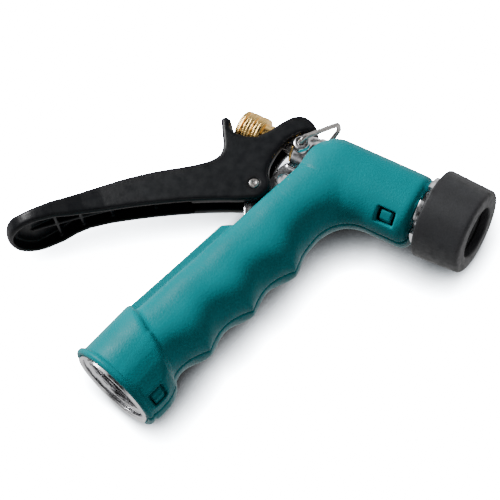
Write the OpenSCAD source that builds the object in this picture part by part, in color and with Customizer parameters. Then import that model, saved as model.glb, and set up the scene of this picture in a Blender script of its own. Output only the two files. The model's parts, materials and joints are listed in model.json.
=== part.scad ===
// Rear-trigger hose spray nozzle, lying on its left side.
// Origin: centre of the hose inlet's mouth. +X runs forward along the barrel,
// +Y runs up the grip side, +Z points out of the nozzle's right-hand side.
// Millimetres throughout.

/* [Overall] */
// Distance from the inlet's mouth to the barrel's axis, along the grip
grip_len = 106.4; // [104:0.2:110]
// Lean of the grip back from square with the barrel, in degrees
grip_tilt = 12.5; // [11:0.5:14]

/* [Barrel] */
// Radius of the cast barrel
barrel_r = 7.6; // [7.4:0.1:7.8]
// Radius of the spring chamber inside the barrel
chamber_r = 5.6; // [5.5:0.1:5.8]
// Rear face of the barrel, behind the grip's axis
barrel_rear = 12.2; // [11.6:0.1:12.6]
// Front face of the barrel, ahead of the grip's axis
barrel_front = 35.6; // [35:0.1:35.8]

/* [Hose inlet] */
// Wall radius of the hose thread's bore
thread_r = 12.6; // [12.4:0.1:12.8]
// Length of the threaded bore
thread_len = 9.5; // [9:0.5:10]
// Outer radius of the inlet socket
socket_r = 15; // [14.8:0.1:15.2]
// Radius of the water way up the grip
water_r = 4.8; // [4:0.1:4.8]

/* [Grip shells] */
// Wall of the moulded shells
wall = 2.2; // [1.8:0.1:2.6]
// Radius of the collar round the inlet
collar_r = 15.7; // [15.6:0.1:16]
// Length of the collar, at its middle
collar_len = 20.2; // [19:0.1:21]
// Radius of the bead at the collar's mouth
bead_r = 17; // [16.6:0.1:17.4]
// Distance between two finger grooves
finger_pitch = 19.4; // [19:0.1:20]
// Depth of a finger groove
finger_depth = 2.9; // [2:0.1:3.2]
// Width of the raised band down the grip's back
band_w = 10; // [8:0.5:11]

/* [Bumper] */
// Radius at the bumper's rear edge
bumper_rear_r = 15.4; // [15:0.1:15.8]
// Radius at the bumper's front edge
bumper_front_r = 14.7; // [14.4:0.1:15]
// Radius of the bumper's mouth
mouth_r = 8.9; // [8.5:0.1:9.3]

/* [Trigger] */
// Full width of the lever across its cheeks
lever_w = 11.4; // [11:0.2:12]
// Width of the slot between the cheeks
slot_w = 5.2; // [5:0.1:5.4]
// Width of the palm end of the lever
palm_w = 22; // [18:0.5:22]
// Wall of the lever's channel
lever_wall = 2; // [1.6:0.1:2.4]
// Radius of the pivot pin
pin_r = 1.75; // [1.6:0.05:1.9]
// Full squeeze of the lever, in degrees
squeeze = 33; // [25:1:34]

/* [Valve] */
// Radius of the valve stem
stem_r = 2; // [1.9:0.05:2.1]
// Rest position of the adjusting nut's front face, behind the grip's axis
nut_face = 23; // [22.8:0.1:23.4]
// Running clearance round the stem and the pin
fit = 0.05; // [0.03:0.01:0.08]

/* [Hold-open wire] */
// Radius of the wire
wire_r = 0.85; // [0.7:0.05:0.9]
// Length of the loop from its pivots to its crown
wire_reach = 15.6; // [15:0.1:16]

/* [Hidden] */

teal = [0.0, 0.55, 0.57];
black = [0.13, 0.13, 0.14];
rubber = [0.2, 0.2, 0.21];
zinc = [0.75, 0.76, 0.78];
brass = [0.86, 0.66, 0.3];
steel = [0.6, 0.61, 0.63];

tiny = 0.01;
// The water pipe stands ahead of the grip's axis, clear of the lever
pipe_x = 2.6;
pipe_r = water_r + 2;
cone_top = 19.5;
socket_len = 11.5;
corner = grip_len * [sin(grip_tilt), cos(grip_tilt)];
pivot = [-18, -19.5];
wire_pivot = [-10.4, -0.2];
wire_lean = 70;
ear_z = 8.7;
seat_x = 26;
shoulder_x = -5.5;
gland_x = -8;
gland_r = 4.3;
hex_r = 4.6;
hex_len = 1.9;
nut_len = 13.5;
nut_r = 6.2;
boss_r = 4.6;
boss_len = 3;
lug_z = 2.3;
flange_r = 12.4;
flange_x = barrel_front + 0.5;
shell_front = flange_x - 0.2;
head_r = 13.4;
bumper_x0 = 38.6;
bumper_x1 = 55.3;

module at_head() translate([corner[0], corner[1], 0]) children();
module on_grip() rotate([0, 0, -grip_tilt]) children();

// A solid of revolution about +X; each profile point is [x, radius].
module along_x(profile, fn = 96)
    rotate([90, 0, 90])
        rotate_extrude($fn = fn)
            polygon([for (p = profile) [p[1], p[0]]]);

module rod_x(x0, x1, r, fn = 96)
    translate([x0, 0, 0])
        rotate([0, 90, 0])
            cylinder(r = r, h = x1 - x0, $fn = fn);

module rod_y(y0, y1, r, fn = 96)
    translate([0, y0, 0])
        rotate([-90, 0, 0])
            cylinder(r = r, h = y1 - y0, $fn = fn);

module ring_x(x0, x1, r_in, r_out)
    along_x([[x0, r_in], [x1, r_in], [x1, r_out], [x0, r_out]]);

module rod_z(z0, z1, r, fn = 64)
    translate([0, 0, z0])
        cylinder(r = r, h = z1 - z0, $fn = fn);

// ---- grip outline, in the grip's own frame: x forward, y up the grip ----

// Height of the lowest ridge between two finger grooves
ridge_low = 31;

// Front face of the grip at height y, scalloped for the fingers
function groove(y) =
    let (u = (y - ridge_low) / finger_pitch, d = u - floor(u))
    finger_depth * 4 * d * (1 - d);
function front_x(y) = 15.3 + 0.056 * (y - ridge_low) - groove(y);

// Back of the grip at height y
function back_x(y) = -13.2 + 0.068 * y;

// Half thickness of the grip at height y
function half_z(y) = 13.6 - 0.016 * y;

// Throat between barrel and grip, in the head's frame
throat = [21.5, -28];
throat_r = 12.8;
top_y = 9.4;
under_y = throat[1] + throat_r;
rear_x = -8.3;
corner_cut = 6.8;
back_lean = grip_tilt + atan(0.068);

function grip_point(p) =
    [p[0] * cos(grip_tilt) + p[1] * sin(grip_tilt),
     -p[0] * sin(grip_tilt) + p[1] * cos(grip_tilt)];

function on_ray(a, r) = throat + r * [cos(a), sin(a)];
// Reach of a ray from the throat's centre to the straight line through p
// whose outward direction is n
function to_line(a, p, n) = (p - throat) * n / ([cos(a), sin(a)] * n);
function to_top(a) = to_line(a, [0, top_y], [0, 1]);
function to_cut(a) = to_line(a, [rear_x, top_y - corner_cut], [-1, 1]);
function to_rear(a) = to_line(a, [rear_x, 0], [-1, 0]);
function to_back(a) =
    to_line(a, grip_point([back_x(grip_len), grip_len]) - corner, [-cos(back_lean), sin(back_lean)]);
function beyond(d) = d > 0 ? d : 1000;
// The barrel's top, its cut corner, or its rear and the grip's back
function ray_reach(a) =
    min(beyond(to_top(a)), beyond(to_cut(a)), beyond(max(to_back(a), to_rear(a))));

// Each station is [rear point, front point, half thickness]
grip_stations = [for (y = [2, 8, 14, 20, 25.5, 28.5, 31, 33.5, 37, 40.7, 44.5, 48, 50.4, 52.8,
                           56, 60, 64, 67, 69.8, 72.5, 75.5, 80])
    [grip_point([back_x(y), y]), grip_point([min(front_x(y), y > 76 ? 14.6 : 20), y]), half_z(y)]];
fan_stations = [for (a = [180 - grip_tilt : -7.75 : 90])
    [corner + on_ray(a, ray_reach(a)), corner + on_ray(a, throat_r), 12.2]];
barrel_stations = [for (x = [26, 31, 33.5, 35, shell_front])
    let (ease = x > 33 ? (x - 33) * (x - 33) / 7 : 0)
    [corner + [x, top_y - ease], corner + [x, under_y + ease], 12.2 - ease]];
stations = concat(grip_stations, fan_stations, barrel_stations);

section_n = 36;
function power(v, e) = sign(v) * pow(abs(v), e);
// One ring of the loft, shrunk by the wall for the hollow
function ring(s, inset) =
    let (c = (s[0] + s[1]) / 2, h = (s[1] - s[0]) / 2, len = norm(h),
         u = h / len, a = len - inset, b = s[2] - inset)
    [for (i = [0 : section_n - 1])
        let (t = 360 * i / section_n, e = cos(t) < 0 ? 0.72 : 0.9,
             k = a * power(cos(t), e))
        [c[0] + u[0] * k, c[1] + u[1] * k, b * power(sin(t), e)]];

module loft(sts, inset) {
    n = section_n;
    m = len(sts);
    points = [for (s = sts) for (p = ring(s, inset)) p];
    sides = [for (j = [0 : m - 2]) for (i = [0 : n - 1])
        [j * n + i, j * n + (i + 1) % n, (j + 1) * n + (i + 1) % n, (j + 1) * n + i]];
    tris = [for (q = sides) for (k = [0, 1])
        k == 0 ? [q[0], q[1], q[2]] : [q[0], q[2], q[3]]];
    polyhedron(points = points, faces = concat(
        [[for (i = [n - 1 : -1 : 0]) i]],
        tris,
        [[for (i = [0 : n - 1]) (m - 1) * n + i]]), convexity = 8);
}

// Latches that hold the shells together: a tongue on the left shell shows
// in a window of the right one
tongue_half = 2.2;
tongue_gap = 0.3;
collar_latch_y = 7.5;
module at_front_window()
    at_head() translate([27.8, -2.95, 0]) rotate([48, 0, 0]) children();
module at_collar_window()
    on_grip() translate([16, collar_latch_y, 6.8]) rotate([0, 60, 0]) rotate([0, 0, 90]) children();
module window(deep)
    translate([-3.4, -2.9, deep]) cube([6.8, 5.8, 12]);
module front_tongue(gap)
    at_head() translate([27.8 - tongue_half - gap, -12.8 - gap, gap > 0 ? -1 : -7])
        cube([2 * (tongue_half + gap), 1.6 + 2 * gap, gap > 0 ? 8.5 : 14.2]);
module collar_tongue(gap)
    on_grip() translate([15.4 - gap, collar_latch_y - tongue_half - gap, gap > 0 ? -1 : -5])
        cube([1.2 + 2 * gap, 2 * (tongue_half + gap), gap > 0 ? 8 : 11.6]);

// ---- metal body ----
// Shoulder between the inlet socket and the water pipe
module socket_cone(gap)
    translate([0, socket_len, 0]) rotate([-90, 0, 0])
        cylinder(r1 = socket_r + gap, r2 = pipe_x + pipe_r + gap, h = cone_top - socket_len, $fn = 96);

module lug_outline()
    difference() {
        union() {
            translate(pivot) circle(r = 3.9, $fn = 64);
            polygon([[-9, -5.5], [-13.2, -6.4], [-14.4, -9], [-15.4, -15.6], pivot + [-3.1, 2.4],
                     pivot + [-3.3, -2.1], [-18.6, -25.6], [-15.6, -31], [-8, -30]]);
        }
        translate([-10.9, -12.4]) circle(r = 2, $fn = 48);
    }

module casting_outside() {
    at_head() {
        difference() {
            rod_x(-barrel_rear, barrel_front, barrel_r);
            // flat that clears the lever's hood
            translate([-20, 5.6, -10]) cube([13.4, 6, 20]);
        }
        translate([wire_pivot[0], wire_pivot[1], 0]) rod_z(-ear_z, ear_z, 2.7);
        translate([0, 0, -lug_z]) linear_extrude(2 * lug_z) lug_outline();
    }
    on_grip() {
        translate([pipe_x, 0, 0]) rod_y(socket_len, grip_len, pipe_r);
        rod_y(0, socket_len, socket_r);
        socket_cone(0);
    }
}

module body_casting()
    color(zinc) difference() {
        casting_outside();
        on_grip() {
            rod_y(-1, thread_len, thread_r);
            rod_y(thread_len - tiny, thread_len + 2.8, thread_r + 0.5);
            translate([pipe_x, 0, 0]) rod_y(10, grip_len, water_r);
        }
        at_head() {
            rod_x(shoulder_x, barrel_front + 1, chamber_r);
            rod_x(gland_x - tiny, shoulder_x + tiny, stem_r + 0.3);
            rod_x(-barrel_rear - 1, gland_x, gland_r);
            // room for the packing nut's hexagon between the ears
            rod_x(-barrel_rear - 3, -barrel_rear, hex_r + 0.3);
            translate(pivot) rod_z(-10, 10, pin_r + fit);
            translate(wire_pivot) {
                rod_z(5.4, 10, wire_r + fit);
                rod_z(-10, -5.4, wire_r + fit);
            }
        }
    }

module outlet_head()
    color(zinc) at_head() difference() {
        along_x([[seat_x, 4.3], [seat_x, 5.5], [flange_x, 5.5], [flange_x, flange_r],
                 [bumper_x0 - 0.2, flange_r], [bumper_x0 - 0.2, 10.9], [39.4, 10.9],
                 [39.4, head_r], [50.4, head_r], [51.4, 12.4], [52.2, 11], [52.2, 7.4],
                 [46.4, 4.4], [46.4, 2.9], [44.4, 2.9], [42.4, 4.3]]);
        for (a = [0 : 60 : 300])
            rotate([a, 0, 0]) translate([flange_x - 1, 10.9, -1.6]) cube([3.6, 3, 3.2]);
        for (x = [41.2 : 2.2 : 48])
            ring_x(x, x + 0.9, head_r - 0.8, head_r + 1);
    }

module head_gasket()
    color(rubber) at_head() ring_x(barrel_front, flange_x, 5.8, 7.4);

module rubber_bumper()
    color(rubber) at_head()
        along_x([[bumper_x0, 11.2], [39.4, 11.2], [39.4, head_r], [50.4, head_r], [51.4, 12.4],
                 [52.2, 11], [52.4, mouth_r], [bumper_x1 - 0.5, mouth_r], [bumper_x1, mouth_r + 0.5],
                 [bumper_x1, bumper_front_r - 1.4], [bumper_x1 - 0.4, bumper_front_r - 0.5],
                 [bumper_x1 - 1.4, bumper_front_r], [bumper_x0 + 1, bumper_rear_r],
                 [bumper_x0, bumper_rear_r - 1]]);

// ---- grip shells ----
module band_outline()
    polygon([[back_x(24) + 3, 22], [-collar_r + 0.4, 22], [-collar_r + 0.6, 26], [-12.5, 62],
             [-11.6, 64.6], [back_x(66.5) + 1, 66.4], [back_x(60) + 3, 60]]);

// Squared boss at the collar's front corner, which carries the lower latch
module latch_boss()
    intersection() {
        linear_extrude(40, center = true)
            polygon([[4, 2.6], [16.6, 2.6], [17.6, 5], [17.5, 9.6], [16.2, 12], [13.2, 14.8], [10, 16.9],
                     [6.5, 18.4], [4, 18.8]]);
        rotate([90, 0, 0]) linear_extrude(60, center = true)
            polygon([[0, -14], [6, -14], [10, -12.7], [14.4, -10], [17.6, -4], [17.6, 4], [14.4, 10],
                     [10, 12.7], [6, 14], [0, 14]]);
    }

module shell_outside() {
    loft(stations, 0);
    on_grip() {
        difference() {
            rod_y(1, collar_len + 8, collar_r);
            translate([0, collar_len, 0]) rotate([0, 0, -18.5]) translate([-30, 0, -30]) cube(60);
        }
        latch_boss();
        rod_y(0.8, 3.4, bead_r);
        translate([0, 0, -band_w / 2]) linear_extrude(band_w) band_outline();
    }
}

module shell_hollow() {
    loft([for (i = [0 : 2 : len(stations) - 4]) stations[i]], wall);
    at_head() {
        rod_x(-30, 60, barrel_r + 0.2);
        translate([wire_pivot[0], wire_pivot[1], 0]) rod_z(-12, 12, 3.1);
        translate([-30, -38, -3]) cube([24, 44, 6]);
        translate([-24, -8, -9]) cube([13.6, 20, 18]);
    }
    on_grip() {
        rod_y(-1, socket_len, socket_r + 0.1);
        socket_cone(0.1);
        translate([pipe_x, 0, 0]) rod_y(socket_len, grip_len, pipe_r + 0.2);
    }
}

module half(side)
    translate([-100, -50, side > 0 ? 0 : -60]) cube([260, 260, 60]);

module full_shell()
    difference() {
        shell_outside();
        shell_hollow();
    }

module grip_shell_right()
    color(teal) difference() {
        intersection() {
            full_shell();
            half(1);
        }
        at_front_window() window(7.8);
        at_collar_window() window(-2);
        front_tongue(tongue_gap);
        collar_tongue(tongue_gap);
    }

module grip_shell_left()
    color(teal) {
        intersection() {
            full_shell();
            half(-1);
        }
        front_tongue(0);
        collar_tongue(0);
    }

module hose_washer()
    color(rubber) on_grip() rotate([-90, 0, 0]) translate([0, 0, thread_len])
        difference() {
            cylinder(r = 12.9, h = 2.6, $fn = 96);
            translate([0, 0, -1]) cylinder(r = 7.6, h = 5, $fn = 96);
        }

// ---- gland and valve ----
module packing_nut()
    color(brass) at_head() difference() {
        union() {
            rod_x(-barrel_rear, -10.8, gland_r - 0.05);
            translate([-barrel_rear - hex_len, 0, 0]) rotate([0, 90, 0])
                cylinder(r = hex_r, h = hex_len, $fn = 6);
        }
        rod_x(-20, 0, stem_r + 0.2);
    }

module gland_washer()
    color(brass) at_head() ring_x(-10.8, -10, stem_r + 0.1, gland_r - 0.05);

module packing_ring()
    color(rubber) at_head() ring_x(-10, gland_x, stem_r + fit, gland_r - 0.05);

module valve_stem()
    color(steel) at_head()
        along_x([[-nut_face - nut_len + 0.8, 0], [-nut_face - nut_len + 0.8, stem_r - 0.4],
                 [-nut_face - nut_len + 1.2, stem_r], [22.2, stem_r], [22.2, 4.6], [23.6, 4.6],
                 [23.6, 2.6], [28.2, 2.6], [33, 2.6], [44, 0.9], [44, 0]]);

module valve_washer()
    color(rubber) at_head() ring_x(23.6, seat_x - fit, 2.6, 5.2);

module washer_retainer()
    color(brass) at_head() ring_x(seat_x - fit, 28.2, 2.6, 3.8);

module spring_seat()
    color(steel) at_head() ring_x(21.2, 22.2, stem_r, 5.3);

module spring_guide()
    color(steel) at_head() ring_x(shoulder_x, shoulder_x + 1, stem_r + 0.3, 5.3);

// A round wire coiled about +X
spring_r = 4.3;
spring_wire = 0.55;
spring_x0 = shoulder_x + 1 + spring_wire;
spring_x1 = 21.2 - spring_wire;
coils = 9;
coil_steps = 20;
coil_sides = 8;
module return_spring()
    color(steel) at_head() {
        n = coils * coil_steps;
        span = spring_x1 - spring_x0;
        rings = [for (i = [0 : n])
            let (a = 360 * i / coil_steps, x = spring_x0 + span * i / n)
            [for (j = [0 : coil_sides - 1])
                let (b = 360 * j / coil_sides, r = spring_r + spring_wire * cos(b))
                [x + spring_wire * sin(b), r * cos(a), r * sin(a)]]];
        points = [for (r = rings) for (p = r) p];
        sides = [for (i = [0 : n - 1]) for (j = [0 : coil_sides - 1])
            [i * coil_sides + j, i * coil_sides + (j + 1) % coil_sides,
             (i + 1) * coil_sides + (j + 1) % coil_sides, (i + 1) * coil_sides + j]];
        polyhedron(points = points, faces = concat(
            [[for (j = [coil_sides - 1 : -1 : 0]) j]],
            [for (q = sides) for (k = [0, 1]) k == 0 ? [q[0], q[1], q[2]] : [q[0], q[2], q[3]]],
            [[for (j = [0 : coil_sides - 1]) n * coil_sides + j]]), convexity = 12);
    }

module adjusting_nut()
    color(brass) at_head() translate([-nut_face, 0, 0])
        along_x([[0, stem_r + 0.03], [0, boss_r - 0.4], [-0.4, boss_r], [-boss_len, boss_r],
                 [-boss_len - 0.2, nut_r], [-5.6, nut_r],
                 [-5.8, 5.6], [-6.4, 5.6], [-6.6, nut_r], [-9.2, nut_r], [-9.4, 5.6], [-10, 5.6],
                 [-10.2, nut_r], [-12.6, nut_r - 0.3], [-nut_len + 0.2, nut_r - 1.4],
                 [-nut_len, nut_r - 2.4], [-nut_len, stem_r + 0.03]]);

// ---- trigger ----
// The nut's face rides on an involute about the pivot, so that it always moves
// in proportion to the squeeze and touches the lever on the stem's axis.
arm = -pivot[1];
cam_gap = 0.04;
lead = nut_face + pivot[0] - cam_gap;
function cam(a) =
    let (reach = lead + arm * a * PI / 180)
    pivot + [-reach * cos(a) + arm * sin(a), reach * sin(a) + arm * cos(a)];

function curve3(a, b, c, d, n) =
    [for (i = [1 : n]) let (t = i / n, s = 1 - t)
        s * s * s * a + 3 * s * s * t * b + 3 * s * t * t * c + t * t * t * d];

horn = [-39.2, -3];
horn_r = 1.2;
cheek_front = concat(
    curve3([-9.2, 7.4], [-13.6, 6.2], [-17, 1], [-17.2, -5.5], 6),
    curve3([-17.2, -5.5], [-17.4, -12], [-16, -13.6], [-14.6, -15.2], 5),
    [for (a = [45 : -15 : -60]) pivot + 5.4 * [cos(a), sin(a)]]);
rim_edge = concat(
    curve3([-16.8, -25.6], [-33.4, -33], [-51.2, -45.1], [-63.8, -55.5], 8),
    curve3([-63.8, -55.5], [-68.5, -59.9], [-74, -66.2], [-80.6, -73.4], 5));
palm_tip = curve3([-80.6, -73.4], [-85, -77.2], [-88.4, -72.4], [-82.2, -66.4], 6);
spine_edge = concat(
    curve3([-82.2, -66.4], [-73.9, -55.8], [-64.2, -39.6], [-43.4, -24.9], 10),
    curve3([-43.4, -24.9], [-34.5, -18], [-32.5, -15.5], [-35.6, -10.4], 6),
    [[-38.2, -6.8]],
    [for (a = [190 : -38 : 0]) horn + horn_r * [cos(a), sin(a)]]);
saddle = concat(
    curve3([-37.4, -3.4], [-35.6, -5], [-31.5, -5.6], [-28, -3.9], 5),
    curve3([-28, -3.9], [-24.4, -1.6], [-23, 2.2], [-22.2, 4.4], 5));
hood = [[-20.8, 6.9], [-18.8, 9], [-16.8, 9.8], [-14.6, 9.9], [-12.4, 9.4], [-10.2, 8.6], [-9, 7.9]];
lever_outline = concat(cheek_front, rim_edge, palm_tip, spine_edge, saddle, hood);

// Room for the nut in the saddle: the knurl lies in a round pocket, and the
// narrower front of the nut runs up the cam between the cheeks' lips
module nut_room() {
    rod_x(-nut_face - nut_len - 0.7, -nut_face - boss_len, nut_r + 0.3);
    rod_x(-nut_face - boss_len - tiny, cam(0)[0], boss_r + 0.3);
    linear_extrude(2 * boss_r + 0.6, center = true)
        polygon(concat([for (a = [0 : 3 : squeeze + 15]) cam(a)],
                       [[-20, 14], [-nut_face - boss_len - tiny, 14], [-nut_face - boss_len - tiny, 0]]));
}

// The channel inside the lever, open along the rim edge
lever_inside = concat(
    [[-9, 6.9], [-14.2, 6.6], [-17.2, 7], [-19.8, 7.9], [-24, 7.9], [-24, -9], [-33, -9], [-31.6, -13]],
    curve3([-31.2, -17], [-34, -20.5], [-38, -23], [-42, -26.8], 3),
    curve3([-42, -26.8], [-61.6, -41.6], [-71, -54.6], [-79, -66.4], 7),
    [[-83, -69.8], [-84, -72.2], [-81.6, -77], [-62, -63], [-40, -47.5], [0, -36], [0, 0]]);

palm_at = [-76.7, -65.6];
palm_turn = 47;
// The lever seen from the palm side: a parallel shank that swells into the palm
module palm_plan(edge, shank) {
    r = palm_w / 2 - edge;
    side = [[140, shank], [20, shank], [13, shank + 1.4], [7, r - 1.2]];
    polygon(concat(side, [for (a = [84 : 8 : 276]) r * [cos(a), sin(a)]],
                   [for (i = [3 : -1 : 0]) [side[i][0], -side[i][1]]]));
}
module palm_block(edge, shank)
    translate([palm_at[0], palm_at[1], 0]) rotate([0, 0, palm_turn])
        rotate([90, 0, 0]) linear_extrude(160, center = true) palm_plan(edge, shank);

// The channel between the lever's walls, less its stiffening ribs
rib_edge = curve3([-28, -28], [-45, -36], [-60, -48.8], [-78, -67], 10);
rib_angle = 37;
module lever_ribs()
    intersection() {
        linear_extrude(palm_w, center = true)
            polygon(concat([[-31, -29.6]], [for (i = [1 : 9]) rib_edge[i]], [[-95, -60], [-40, 0]]));
        union() {
            cube([200, 200, 1.2], center = true);
            for (i = [3 : 2 : 7])
                translate(rib_edge[i]) rotate([0, 0, rib_angle])
                    cube([1.2, 40, palm_w], center = true);
        }
    }

module lever_channel()
    difference() {
        intersection() {
            linear_extrude(palm_w, center = true) polygon(lever_inside);
            union() {
                palm_block(lever_wall, slot_w / 2);
                intersection() {
                    palm_block(lever_wall, lever_w / 2 - lever_wall);
                    translate([-100, -100, -palm_w / 2]) cube([66, 100, palm_w]);
                }
            }
        }
        lever_ribs();
    }

module trigger_lever()
    color(black) at_head() difference() {
        intersection() {
            linear_extrude(palm_w, center = true) polygon(lever_outline);
            palm_block(0, lever_w / 2);
        }
        lever_channel();
        nut_room();
        translate(pivot) rod_z(-10, 10, pin_r);
    }

module pivot_pin()
    color(steel) at_head() translate(pivot) {
        rod_z(-lever_w / 2 - 1.4, lever_w / 2 + 0.1, pin_r);
        translate([0, 0, lever_w / 2 + 0.1]) cylinder(r1 = pin_r, r2 = 1.2, h = 0.4, $fn = 64);
    }

module pin_washer()
    color(steel) at_head() translate(pivot)
        difference() {
            rod_z(-lever_w / 2 - 0.7, -lever_w / 2, 3.2);
            rod_z(-10, 0, pin_r);
        }

// ---- hold-open wire ----
leg_z = ear_z + wire_r + 0.35;
crown_z = 3;
half_route = [[0, 0, 5.6], [0, 0, leg_z], [2.6, 0, leg_z], [wire_reach - 1.6, 0, crown_z],
              [wire_reach, 0, crown_z - 1.4]];
route = concat(half_route, [for (i = [len(half_route) - 1 : -1 : 0])
    [half_route[i][0], 0, -half_route[i][2]]]);

// Straight wire from a to b, with a rounded bend at a
module wire(a, b)
    translate(a)
        rotate([0, acos((b - a)[2] / norm(b - a)), atan2((b - a)[1], (b - a)[0])]) {
            cylinder(r = wire_r, h = norm(b - a), $fn = 32);
            sphere(r = wire_r * 1.03, $fn = 32);
        }

module hold_open_wire()
    color(steel) at_head() translate([wire_pivot[0], wire_pivot[1], 0]) rotate([0, 0, wire_lean])
        difference() {
            union() for (i = [0 : len(route) - 2]) wire(route[i], route[i + 1]);
            translate([-2, -2, 5.6 - 2]) cube([4, 4, 2]);
        }

body_casting();
outlet_head();
head_gasket();
rubber_bumper();
grip_shell_right();
grip_shell_left();
hose_washer();
packing_nut();
gland_washer();
packing_ring();
valve_stem();
valve_washer();
washer_retainer();
spring_seat();
spring_guide();
return_spring();
adjusting_nut();
trigger_lever();
pivot_pin();
pin_washer();
hold_open_wire();
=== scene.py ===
"""Looks of the hose nozzle: textured shells, die-cast metal, painted lever, rubber and brass.

The moulded and cast pieces are made as distance fields on a grid and meshed from them, so that
edges and corners are rounded as on real mouldings; turned pieces are lathed from profiles.
Lengths are in millimetres in the head's own frame (x forward along the barrel, y to the nozzle's
top, z to its right side, origin where the barrel's and the grip's axes cross) until a mesh is made.
"""

import json
import math

import bmesh
import bpy
import numpy as np
from mathutils import Matrix, Vector


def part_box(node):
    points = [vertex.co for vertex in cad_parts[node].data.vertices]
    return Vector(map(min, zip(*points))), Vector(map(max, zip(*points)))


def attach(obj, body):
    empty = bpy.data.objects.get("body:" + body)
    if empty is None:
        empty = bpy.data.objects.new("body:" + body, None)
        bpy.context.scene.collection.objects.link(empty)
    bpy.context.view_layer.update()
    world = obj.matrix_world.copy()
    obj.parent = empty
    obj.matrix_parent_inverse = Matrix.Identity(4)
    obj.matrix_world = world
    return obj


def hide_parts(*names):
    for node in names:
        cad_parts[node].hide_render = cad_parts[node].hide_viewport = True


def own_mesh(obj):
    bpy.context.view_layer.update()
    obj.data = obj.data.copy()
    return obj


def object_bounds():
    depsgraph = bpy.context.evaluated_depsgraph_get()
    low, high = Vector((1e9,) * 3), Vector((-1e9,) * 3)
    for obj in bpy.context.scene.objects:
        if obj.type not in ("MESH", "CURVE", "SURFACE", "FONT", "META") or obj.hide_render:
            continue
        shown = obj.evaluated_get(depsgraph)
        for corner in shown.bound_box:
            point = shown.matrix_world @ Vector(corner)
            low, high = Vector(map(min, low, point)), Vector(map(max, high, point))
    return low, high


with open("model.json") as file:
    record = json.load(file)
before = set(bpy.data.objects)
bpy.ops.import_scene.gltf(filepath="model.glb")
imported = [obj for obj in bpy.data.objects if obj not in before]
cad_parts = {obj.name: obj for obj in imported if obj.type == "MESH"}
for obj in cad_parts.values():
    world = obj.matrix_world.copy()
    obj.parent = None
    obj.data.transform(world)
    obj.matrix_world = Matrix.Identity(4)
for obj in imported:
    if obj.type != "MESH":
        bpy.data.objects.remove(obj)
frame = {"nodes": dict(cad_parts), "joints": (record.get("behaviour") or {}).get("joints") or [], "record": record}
cad_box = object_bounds()

MM = 0.001
GRID = 0.4  # spacing of the distance grids
FINE = 0.25  # grid of the casting's small shapes
LEVER_GRID = 0.35

# ---------------------------------------------------------------- places, from the frame
joints = {j["name"]: j for j in frame["joints"]}
inlet_axis = next(m for m in frame["record"]["mounts"] if m["name"] == "hose_inlet")["axis"]
TILT = math.atan2(-inlet_axis[0], -inlet_axis[1])
BARREL_Y = sum(c.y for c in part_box("adjusting_nut")) / 2
CORNER = Vector((BARREL_Y * math.tan(TILT), BARREL_Y, 0))
GRIP_LEN = BARREL_Y / math.cos(TILT) / MM


def in_head(point):
    return [(p - c) / MM for p, c in zip(point, CORNER)]


PIVOT = in_head(joints["trigger_squeeze"]["pos_m"])
WIRE_PIVOT = in_head(joints["wire_swing"]["pos_m"])
NUT_X = [in_head(c)[0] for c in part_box("adjusting_nut")]
BUMPER_X = [in_head(c)[0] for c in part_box("rubber_bumper")]
HALF_LEVER = 5.7
NUT_R, BOSS_R, BOSS_LEN = 6.2, 4.6, 3.0
PIPE_X, PIPE_R = 2.6, 6.8  # water pipe up the grip, ahead of the grip's axis
BARREL_R = 7.6
BARREL_END = -12.2  # the barrel's rear face, where the packing nut sits
SHELL_FRONT = 35.9
WALL = 2.2
TOP_Y = 9.4  # top of the barrel's shells
THROAT, THROAT_R = (21.5, -28.0), 12.8  # bend between barrel and grip
THREAD_R, THREAD_END = 13.4, 9.5  # inlet thread's base radius and its depth
FRONT_LATCH_X, COLLAR_LATCH_Y = 27.8, 7.5  # latch tongues, along barrel and up grip
TONGUE_HALF = 2.05
PALM_AT, PALM_R, PALM_TURN = (-76.7, -65.6), 11, 47  # middle, radius, lean in degrees


def grip_to_head(points):
    """Points in the grip's frame (x forward, y up the grip from the inlet) as head points."""
    p = np.atleast_2d(np.asarray(points, float))
    c, s = math.cos(TILT), math.sin(TILT)
    y = p[:, 1] - GRIP_LEN
    out = p.copy()
    out[:, 0] = p[:, 0] * c + y * s
    out[:, 1] = -p[:, 0] * s + y * c
    return out


# ---------------------------------------------------------------- meshes
def new_object(name, verts, faces, body, material, replaced):
    """A mesh object from head-frame points in millimetres."""
    mesh = bpy.data.meshes.new(name)
    co = np.asarray(verts, float) * MM + np.array(CORNER)
    mesh.from_pydata(co.tolist(), [], [list(map(int, f)) for f in faces])
    mesh.validate()
    clean = bmesh.new()
    clean.from_mesh(mesh)
    bmesh.ops.remove_doubles(clean, verts=clean.verts, dist=0.002 * MM)
    bmesh.ops.dissolve_degenerate(clean, edges=clean.edges, dist=0.001 * MM)
    bmesh.ops.recalc_face_normals(clean, faces=clean.faces)
    clean.to_mesh(mesh)
    clean.free()
    mesh.shade_smooth()
    obj = bpy.data.objects.new(name, mesh)
    bpy.context.scene.collection.objects.link(obj)
    mesh.materials.append(material)
    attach(obj, body)
    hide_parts(*replaced)
    return obj


def sharpen(obj, degrees):
    """Keeps edges sharper than this angle crisp in shading."""
    obj.data.set_sharp_from_angle(angle=math.radians(degrees))


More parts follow.
